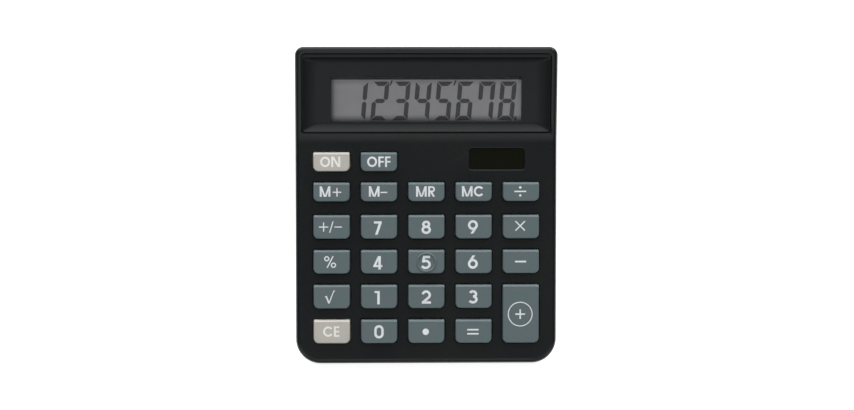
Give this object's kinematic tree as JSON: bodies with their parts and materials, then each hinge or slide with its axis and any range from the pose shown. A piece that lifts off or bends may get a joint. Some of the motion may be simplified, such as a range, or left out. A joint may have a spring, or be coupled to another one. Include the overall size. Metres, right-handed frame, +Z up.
{
  "type": "desktop calculator",
  "caption": "Wedge shaped desktop calculator with a scooped display frame, a small solar window, sprung keys and a screwed battery cover.",
  "frame": {"origin": "middle of the footprint, on the surface that the feet stand on", "axes": "+Z up, +Y towards the rear edge behind the display, +X to the right as the user sees it"},
  "size_m": [0.105, 0.127, 0.024],
  "materials": {
    "housing_black": "satin moulded ABS, fine grain",
    "bezel_gloss": "polished moulded ABS",
    "key_grey": "satin moulded key cap, blue grey",
    "key_light": "satin moulded key cap, warm light grey",
    "clear_window": "clear acrylic sheet",
    "display_glass": "grey liquid crystal glass with dark segments",
    "foil": "brushed reflector film",
    "ribbon_film": "amber heat seal ribbon",
    "solar_tint": "dark tinted window",
    "silicon_cell": "amorphous silicon on glass",
    "wire_red": "insulated lead",
    "wire_black": "insulated lead",
    "silicone": "soft silicone sheet",
    "board_laminate": "phenolic laminate with carbon contacts",
    "black_resin": "potting resin over the chip",
    "can_sleeve": "shrink sleeve",
    "resistor_body": "lacquered body",
    "nickel": "nickel plated steel",
    "screw_steel": "zinc plated steel",
    "foot_rubber": "soft rubber"
  },
  "bodies": {
    "case": {"top_housing": "housing_black", "bottom_housing": "housing_black", "display_bezel": "bezel_gloss", "display_lens": "clear_window", "solar_window": "solar_tint", "battery_cover": "housing_black", "lcd_glass": "display_glass", "lcd_reflector": "foil", "lcd_holder": "housing_black", "lcd_ribbon": "ribbon_film", "solar_cell": "silicon_cell", "solar_lead_red": "wire_red", "solar_lead_black": "wire_black", "rubber_keypad": "silicone", "main_board": "board_laminate", "controller_chip": "black_resin", "capacitor": "can_sleeve", "resistor": "resistor_body", "board_screw_front_left": "screw_steel", "board_screw_front_right": "screw_steel", "board_screw_rear_left": "screw_steel", "board_screw_rear_right": "screw_steel", "button_cell": "nickel", "battery_contact_negative": "nickel", "battery_contact_positive": "nickel", "case_screw_front_left": "screw_steel", "case_screw_front_right": "screw_steel", "case_screw_rear_left": "screw_steel", "case_screw_rear_right": "screw_steel", "battery_cover_screw": "screw_steel", "foot_front_left": "foot_rubber", "foot_front_right": "foot_rubber", "foot_rear_left": "foot_rubber", "foot_rear_right": "foot_rubber"},
    "key_ce": {"key_ce": "key_light"},
    "key_0": {"key_0": "key_grey"},
    "key_point": {"key_point": "key_grey"},
    "key_equals": {"key_equals": "key_grey"},
    "key_root": {"key_root": "key_grey"},
    "key_1": {"key_1": "key_grey"},
    "key_2": {"key_2": "key_grey"},
    "key_3": {"key_3": "key_grey"},
    "key_percent": {"key_percent": "key_grey"},
    "key_4": {"key_4": "key_grey"},
    "key_5": {"key_5": "key_grey"},
    "key_6": {"key_6": "key_grey"},
    "key_minus": {"key_minus": "key_grey"},
    "key_sign": {"key_sign": "key_grey"},
    "key_7": {"key_7": "key_grey"},
    "key_8": {"key_8": "key_grey"},
    "key_9": {"key_9": "key_grey"},
    "key_multiply": {"key_multiply": "key_grey"},
    "key_m_plus": {"key_m_plus": "key_grey"},
    "key_m_minus": {"key_m_minus": "key_grey"},
    "key_mr": {"key_mr": "key_grey"},
    "key_mc": {"key_mc": "key_grey"},
    "key_divide": {"key_divide": "key_grey"},
    "key_on": {"key_on": "key_light"},
    "key_off": {"key_off": "key_grey"},
    "key_plus": {"key_plus": "key_grey"}
  },
  "joints": [
    {"name": "press_ce", "type": "slide", "parent": "case", "child": "key_ce", "axis": [0, 0.0698, -0.9976], "range_m": [0, 0.0012], "stiffness_N_per_m": 500, "deforming": ["rubber_keypad"]},
    {"name": "press_0", "type": "slide", "parent": "case", "child": "key_0", "axis": [0, 0.0698, -0.9976], "range_m": [0, 0.0012], "stiffness_N_per_m": 500, "deforming": ["rubber_keypad"]},
    {"name": "press_point", "type": "slide", "parent": "case", "child": "key_point", "axis": [0, 0.0698, -0.9976], "range_m": [0, 0.0012], "stiffness_N_per_m": 500, "deforming": ["rubber_keypad"]},
    {"name": "press_equals", "type": "slide", "parent": "case", "child": "key_equals", "axis": [0, 0.0698, -0.9976], "range_m": [0, 0.0012], "stiffness_N_per_m": 500, "deforming": ["rubber_keypad"]},
    {"name": "press_root", "type": "slide", "parent": "case", "child": "key_root", "axis": [0, 0.0698, -0.9976], "range_m": [0, 0.0012], "stiffness_N_per_m": 500, "deforming": ["rubber_keypad"]},
    {"name": "press_1", "type": "slide", "parent": "case", "child": "key_1", "axis": [0, 0.0698, -0.9976], "range_m": [0, 0.0012], "stiffness_N_per_m": 500, "deforming": ["rubber_keypad"]},
    {"name": "press_2", "type": "slide", "parent": "case", "child": "key_2", "axis": [0, 0.0698, -0.9976], "range_m": [0, 0.0012], "stiffness_N_per_m": 500, "deforming": ["rubber_keypad"]},
    {"name": "press_3", "type": "slide", "parent": "case", "child": "key_3", "axis": [0, 0.0698, -0.9976], "range_m": [0, 0.0012], "stiffness_N_per_m": 500, "deforming": ["rubber_keypad"]},
    {"name": "press_percent", "type": "slide", "parent": "case", "child": "key_percent", "axis": [0, 0.0698, -0.9976], "range_m": [0, 0.0012], "stiffness_N_per_m": 500, "deforming": ["rubber_keypad"]},
    {"name": "press_4", "type": "slide", "parent": "case", "child": "key_4", "axis": [0, 0.0698, -0.9976], "range_m": [0, 0.0012], "stiffness_N_per_m": 500, "deforming": ["rubber_keypad"]},
    {"name": "press_5", "type": "slide", "parent": "case", "child": "key_5", "axis": [0, 0.0698, -0.9976], "range_m": [0, 0.0012], "stiffness_N_per_m": 500, "deforming": ["rubber_keypad"]},
    {"name": "press_6", "type": "slide", "parent": "case", "child": "key_6", "axis": [0, 0.0698, -0.9976], "range_m": [0, 0.0012], "stiffness_N_per_m": 500, "deforming": ["rubber_keypad"]},
    {"name": "press_minus", "type": "slide", "parent": "case", "child": "key_minus", "axis": [0, 0.0698, -0.9976], "range_m": [0, 0.0012], "stiffness_N_per_m": 500, "deforming": ["rubber_keypad"]},
    {"name": "press_sign", "type": "slide", "parent": "case", "child": "key_sign", "axis": [0, 0.0698, -0.9976], "range_m": [0, 0.0012], "stiffness_N_per_m": 500, "deforming": ["rubber_keypad"]},
    {"name": "press_7", "type": "slide", "parent": "case", "child": "key_7", "axis": [0, 0.0698, -0.9976], "range_m": [0, 0.0012], "stiffness_N_per_m": 500, "deforming": ["rubber_keypad"]},
    {"name": "press_8", "type": "slide", "parent": "case", "child": "key_8", "axis": [0, 0.0698, -0.9976], "range_m": [0, 0.0012], "stiffness_N_per_m": 500, "deforming": ["rubber_keypad"]},
    {"name": "press_9", "type": "slide", "parent": "case", "child": "key_9", "axis": [0, 0.0698, -0.9976], "range_m": [0, 0.0012], "stiffness_N_per_m": 500, "deforming": ["rubber_keypad"]},
    {"name": "press_multiply", "type": "slide", "parent": "case", "child": "key_multiply", "axis": [0, 0.0698, -0.9976], "range_m": [0, 0.0012], "stiffness_N_per_m": 500, "deforming": ["rubber_keypad"]},
    {"name": "press_m_plus", "type": "slide", "parent": "case", "child": "key_m_plus", "axis": [0, 0.0698, -0.9976], "range_m": [0, 0.0012], "stiffness_N_per_m": 500, "deforming": ["rubber_keypad"]},
    {"name": "press_m_minus", "type": "slide", "parent": "case", "child": "key_m_minus", "axis": [0, 0.0698, -0.9976], "range_m": [0, 0.0012], "stiffness_N_per_m": 500, "deforming": ["rubber_keypad"]},
    {"name": "press_mr", "type": "slide", "parent": "case", "child": "key_mr", "axis": [0, 0.0698, -0.9976], "range_m": [0, 0.0012], "stiffness_N_per_m": 500, "deforming": ["rubber_keypad"]},
    {"name": "press_mc", "type": "slide", "parent": "case", "child": "key_mc", "axis": [0, 0.0698, -0.9976], "range_m": [0, 0.0012], "stiffness_N_per_m": 500, "deforming": ["rubber_keypad"]},
    {"name": "press_divide", "type": "slide", "parent": "case", "child": "key_divide", "axis": [0, 0.0698, -0.9976], "range_m": [0, 0.0012], "stiffness_N_per_m": 500, "deforming": ["rubber_keypad"]},
    {"name": "press_on", "type": "slide", "parent": "case", "child": "key_on", "axis": [0, 0.0698, -0.9976], "range_m": [0, 0.0012], "stiffness_N_per_m": 500, "deforming": ["rubber_keypad"]},
    {"name": "press_off", "type": "slide", "parent": "case", "child": "key_off", "axis": [0, 0.0698, -0.9976], "range_m": [0, 0.0012], "stiffness_N_per_m": 500, "deforming": ["rubber_keypad"]},
    {"name": "press_plus", "type": "slide", "parent": "case", "child": "key_plus", "axis": [0, 0.0698, -0.9976], "range_m": [0, 0.0012], "stiffness_N_per_m": 500, "deforming": ["rubber_keypad"]}
  ]
}
